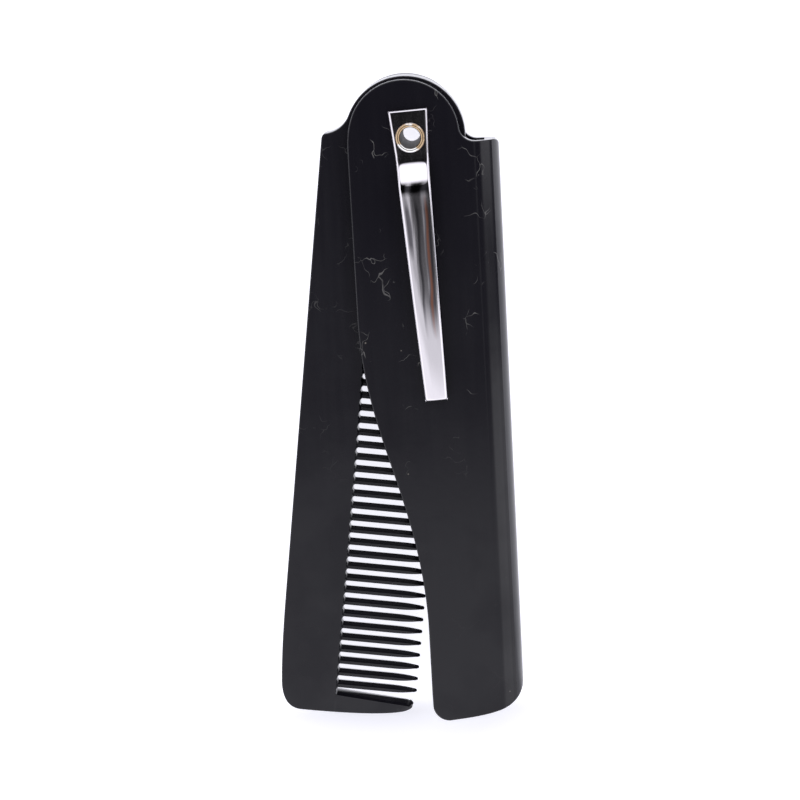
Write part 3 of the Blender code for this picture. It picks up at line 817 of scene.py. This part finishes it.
def make_studio():
    """A white tent seen from within: lit walls that fade near the floor, and a dark ceiling round the lens.

    The ceiling's brightness follows y / z of the direction, slanted by x / z: black over the lens, brighter
    towards the front, with two tube lamps hung lengthways, the stronger on the left. The walls' brightness
    follows z, the cosine of the angle from straight up, with a gap between two lamps on the right.
    """
    world = bpy.data.worlds.new("studio")
    world.use_nodes = True
    bpy.context.scene.world = world
    tree = world.node_tree
    back = tree.nodes["Background"]
    direction = add(tree, "ShaderNodeTexCoord").outputs["Generated"]
    axes = add(tree, "ShaderNodeSeparateXYZ", direction).outputs
    rise = add(tree, MATH, axes["Z"], 0.02, operation="MAXIMUM")
    forward = add(tree, MATH, axes["Y"], rise, operation="DIVIDE")
    aside = add(tree, MATH, axes["X"], rise, operation="DIVIDE")
    aside = add(tree, MATH, aside, LENS_ASIDE, operation="ADD")
    left = add(tree, MATH, aside, 0.065, operation="ADD")
    left = add(tree, MATH, left, 0.0, operation="MINIMUM")
    left = add(tree, MATH, left, 0.75, operation="MULTIPLY")
    right = add(tree, MATH, aside, 0.0, operation="MAXIMUM")
    right = add(tree, MATH, right, 0.15, operation="MINIMUM")
    right = add(tree, MATH, right, 0.08, operation="MULTIPLY")
    slant = add(tree, MATH, left, right, operation="ADD")
    depth = add(tree, MATH, forward, slant, operation="ADD")
    under_lens = add(tree, RAMP, depth, -0.12, -0.22, 0.012, 0.2, interpolation_type="SMOOTHSTEP")
    front_edge = add(tree, RAMP, depth, -0.215, -0.3, 0.0, 0.6, interpolation_type="SMOOTHSTEP")
    front_wall = add(tree, RAMP, depth, -0.36, -0.43, 0.0, 0.3)
    left_tube = band(tree, aside, (-0.16, -0.13), (-0.1, -0.07), 0.55)
    right_tube = band(tree, aside, (0.06, 0.09), (0.13, 0.17), 0.3)
    tubes = add(tree, MATH, left_tube, right_tube, operation="ADD")
    tubes = add(tree, MATH, tubes, add(tree, RAMP, depth, -0.26, -0.2), operation="MULTIPLY")
    ceiling = under_lens
    for lamp in (front_edge, front_wall, tubes):
        ceiling = add(tree, MATH, ceiling, lamp, operation="ADD")
    on_right = add(tree, RAMP, axes["X"], 0.25, 0.4, 0.0, 0.85)
    gap = band(tree, axes["Y"], (-0.21, -0.185), (-0.14, -0.12))
    gap = add(tree, MATH, gap, on_right, operation="MULTIPLY")
    past_gap = add(tree, RAMP, axes["Y"], -0.17, -0.21)
    low_lamp = add(tree, MATH, past_gap, add(tree, RAMP, axes["X"], 0.4, 0.6), operation="MULTIPLY")
    low_lamp = add(tree, MATH, low_lamp, 1.1, operation="MULTIPLY")
    wall = add(tree, RAMP, axes["Z"], 0.12, 0.36, 0.27, 1.4, interpolation_type="SMOOTHSTEP")
    wall = add(tree, MATH, wall, low_lamp, operation="MAXIMUM")
    no_gap = add(tree, MATH, 1.0, gap, operation="SUBTRACT")
    wall = add(tree, MATH, wall, no_gap, operation="MULTIPLY")
    share = add(tree, RAMP, axes["Z"], 0.9, 0.8, interpolation_type="SMOOTHSTEP")
    light = add(tree, MIX, share, in_2=ceiling, in_3=wall)
    fill(tree, back.inputs["Strength"], light)
    back.inputs["Color"].default_value = linear("#fafaff")


def make_camera():
    """The photograph's view: above the comb, leaning towards its head and its spine."""
    lean = np.array([CAMERA_LEAN[0], CAMERA_LEAN[1], 1.0])
    lean /= np.linalg.norm(lean)
    up = np.array([math.sin(CAMERA_ROLL), math.cos(CAMERA_ROLL), 0.0])
    right = np.cross(up, lean)
    right /= np.linalg.norm(right)
    turn = Matrix(np.column_stack([right, np.cross(lean, right), lean]).tolist())
    data = bpy.data.cameras.new("camera")
    data.sensor_width = 36.0
    data.lens = CAMERA_LENS
    data.clip_start = 0.01
    camera = bpy.data.objects.new("camera", data)
    bpy.context.scene.collection.objects.link(camera)
    place = (np.array(CAMERA_TARGET) + CAMERA_DISTANCE * lean) * MM
    camera.matrix_world = Matrix.Translation(place.tolist()) @ turn.to_4x4()
    bpy.context.scene.camera = camera


def main():
    handle_plastic = black_plastic("black_abs_handle", ("#131218", "#19181e"), 0.1, 0.4)
    comb_plastic = black_plastic("black_abs_comb", ("#15141a", "#1b1a20"), 0.12, 0.15)
    steel = spring_steel()
    nickel = nickel_plate()
    make_handle(handle_plastic)
    make_comb(comb_plastic)
    make_clip(steel)
    make_rivet(nickel)
    make_floor()
    make_studio()
    make_camera()
    bpy.context.scene.view_settings.view_transform = "Standard"


main()
